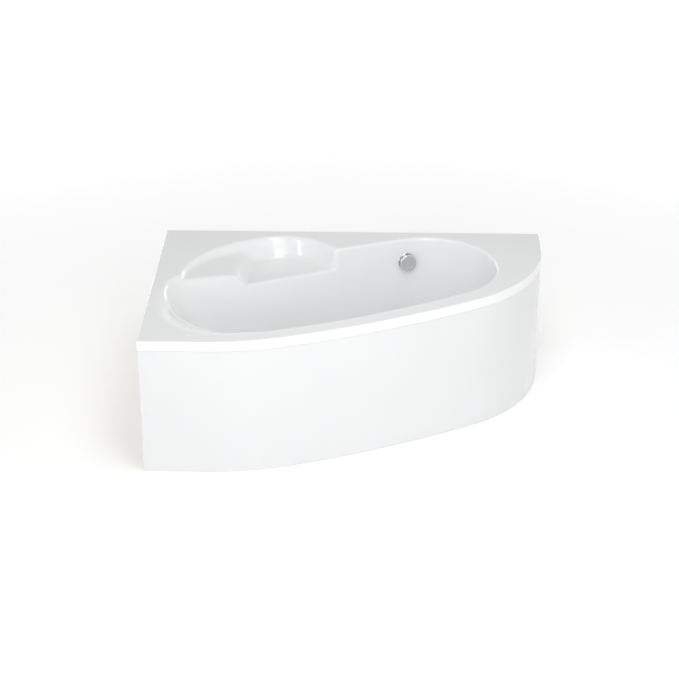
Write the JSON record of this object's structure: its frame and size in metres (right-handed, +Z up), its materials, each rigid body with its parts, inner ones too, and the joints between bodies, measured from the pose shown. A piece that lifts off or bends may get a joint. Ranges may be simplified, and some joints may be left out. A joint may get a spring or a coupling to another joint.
{
  "type": "corner bathtub",
  "caption": "Left-hand corner bathtub with a curved front panel, a corner seat and ledge, a headrest, adjustable feet and a pop-up waste worked by a turning overflow knob.",
  "frame": {"origin": "on the floor below the middle of the tub's outline", "axes": "+X along the back wall towards the end with the overflow, +Y towards the back wall, +Z up"},
  "size_m": [1.5, 1, 0.54],
  "materials": {
    "acrylic": "gloss",
    "panel_acrylic": "gloss",
    "glassfibre": "rough",
    "chipboard": "matt",
    "pine": "planed",
    "galvanised": "galvanised",
    "zinc": "zinc plated",
    "nylon": "matt",
    "chrome": "polished",
    "rubber": "matt",
    "waste_plastic": "satin",
    "black_plastic": "satin",
    "hose_plastic": "satin",
    "brass": "satin",
    "cable_sheath": "satin",
    "steel_wire": "drawn"
  },
  "bodies": {
    "tub": {"tub_shell": "acrylic", "front_panel": "panel_acrylic", "glassfibre_backing": "glassfibre", "bottom_board": "chipboard", "rim_batten_back": "pine", "rim_batten_left": "pine", "rim_batten_front": "pine", "leg_rail_left": "galvanised", "leg_rail_middle": "galvanised", "leg_rail_right": "galvanised", "board_screws": "zinc", "weld_nuts": "zinc", "lock_nuts": "zinc", "wall_bracket_back_left": "zinc", "wall_bracket_back_right": "zinc", "wall_bracket_left": "zinc", "panel_clips": "galvanised", "panel_clip_screws": "zinc", "panel_holders": "galvanised", "panel_holder_screws": "zinc", "drain_flange": "chrome", "drain_gasket": "rubber", "drain_body": "waste_plastic", "trap_seal": "rubber", "trap_nut": "black_plastic", "trap_cup": "waste_plastic", "outlet_pipe": "waste_plastic", "outlet_nut": "black_plastic", "overflow_rosette": "chrome", "overflow_gasket": "rubber", "overflow_body": "waste_plastic", "overflow_hose": "hose_plastic", "hose_nut_top": "black_plastic", "hose_nut_bottom": "black_plastic", "cable_conduit": "cable_sheath"},
    "knob": {"overflow_knob": "chrome", "overflow_spindle": "brass"},
    "plug": {"plug_cap": "chrome", "plug_seal": "rubber", "plug_stem": "brass"},
    "lever": {"plug_lever": "brass"},
    "wire": {"cable_wire": "steel_wire"},
    "foot_1": {"foot_pad_1": "nylon"},
    "rod_1": {"foot_rod_1": "zinc"},
    "foot_2": {"foot_pad_2": "nylon"},
    "rod_2": {"foot_rod_2": "zinc"},
    "foot_3": {"foot_pad_3": "nylon"},
    "rod_3": {"foot_rod_3": "zinc"},
    "foot_4": {"foot_pad_4": "nylon"},
    "rod_4": {"foot_rod_4": "zinc"},
    "foot_5": {"foot_pad_5": "nylon"},
    "rod_5": {"foot_rod_5": "zinc"},
    "foot_6": {"foot_pad_6": "nylon"},
    "rod_6": {"foot_rod_6": "zinc"}
  },
  "joints": [
    {"name": "foot_slide_1", "type": "slide", "parent": "tub", "child": "foot_1", "axis": [0, 0, -1], "range_m": [-0.01, 0.02]},
    {"name": "rod_turn_1", "type": "hinge", "parent": "foot_1", "child": "rod_1", "pos_m": [-0.24, -0.3524, 0.05], "axis": [0, 0, -1], "range_deg": [-2058.1, 4115.3]},
    {"name": "foot_slide_2", "type": "slide", "parent": "tub", "child": "foot_2", "axis": [0, 0, -1], "range_m": [-0.01, 0.02]},
    {"name": "rod_turn_2", "type": "hinge", "parent": "foot_2", "child": "rod_2", "pos_m": [-0.24, 0.22, 0.05], "axis": [0, 0, -1], "range_deg": [-2058.1, 4115.3]},
    {"name": "foot_slide_3", "type": "slide", "parent": "tub", "child": "foot_3", "axis": [0, 0, -1], "range_m": [-0.01, 0.02]},
    {"name": "rod_turn_3", "type": "hinge", "parent": "foot_3", "child": "rod_3", "pos_m": [0.045, -0.2426, 0.05], "axis": [0, 0, -1], "range_deg": [-2058.1, 4115.3]},
    {"name": "foot_slide_4", "type": "slide", "parent": "tub", "child": "foot_4", "axis": [0, 0, -1], "range_m": [-0.01, 0.02]},
    {"name": "rod_turn_4", "type": "hinge", "parent": "foot_4", "child": "rod_4", "pos_m": [0.045, 0.3, 0.05], "axis": [0, 0, -1], "range_deg": [-2058.1, 4115.3]},
    {"name": "foot_slide_5", "type": "slide", "parent": "tub", "child": "foot_5", "axis": [0, 0, -1], "range_m": [-0.01, 0.02]},
    {"name": "rod_turn_5", "type": "hinge", "parent": "foot_5", "child": "rod_5", "pos_m": [0.33, -0.1019, 0.05], "axis": [0, 0, -1], "range_deg": [-2058.1, 4115.3]},
    {"name": "foot_slide_6", "type": "slide", "parent": "tub", "child": "foot_6", "axis": [0, 0, -1], "range_m": [-0.01, 0.02]},
    {"name": "rod_turn_6", "type": "hinge", "parent": "foot_6", "child": "rod_6", "pos_m": [0.33, 0.39, 0.05], "axis": [0, 0, -1], "range_deg": [-2058.1, 4115.3]},
    {"name": "knob_turn", "type": "hinge", "parent": "tub", "child": "knob", "pos_m": [0.22088, 0.41911, 0.446], "axis": [0.2728, -0.9512, 0.144], "range_deg": [0, 90]},
    {"name": "plug_lift", "type": "slide", "parent": "tub", "child": "plug", "axis": [0, 0, 1], "range_m": [0, 0.0101]},
    {"name": "lever_turn", "type": "hinge", "parent": "tub", "child": "lever", "pos_m": [0.228, 0.186, 0.088], "axis": [1, 0, 0], "range_deg": [0, 42.1]},
    {"name": "wire_slide", "type": "slide", "parent": "tub", "child": "wire", "axis": [0, 1, 0], "range_m": [0, 0.0158]}
  ],
  "couplings": [
    {"joint": "rod_turn_1", "follows": "foot_slide_1", "rad_per_m": 3590.4},
    {"joint": "rod_turn_2", "follows": "foot_slide_2", "rad_per_m": 3590.4},
    {"joint": "rod_turn_3", "follows": "foot_slide_3", "rad_per_m": 3590.4},
    {"joint": "rod_turn_4", "follows": "foot_slide_4", "rad_per_m": 3590.4},
    {"joint": "rod_turn_5", "follows": "foot_slide_5", "rad_per_m": 3590.4},
    {"joint": "rod_turn_6", "follows": "foot_slide_6", "rad_per_m": 3590.4},
    {"joint": "plug_lift", "follows": "knob_turn", "m_per_rad": 0.0063662},
    {"joint": "lever_turn", "follows": "knob_turn", "ratio": 0.46667},
    {"joint": "wire_slide", "follows": "knob_turn", "m_per_rad": 0.01002}
  ]
}
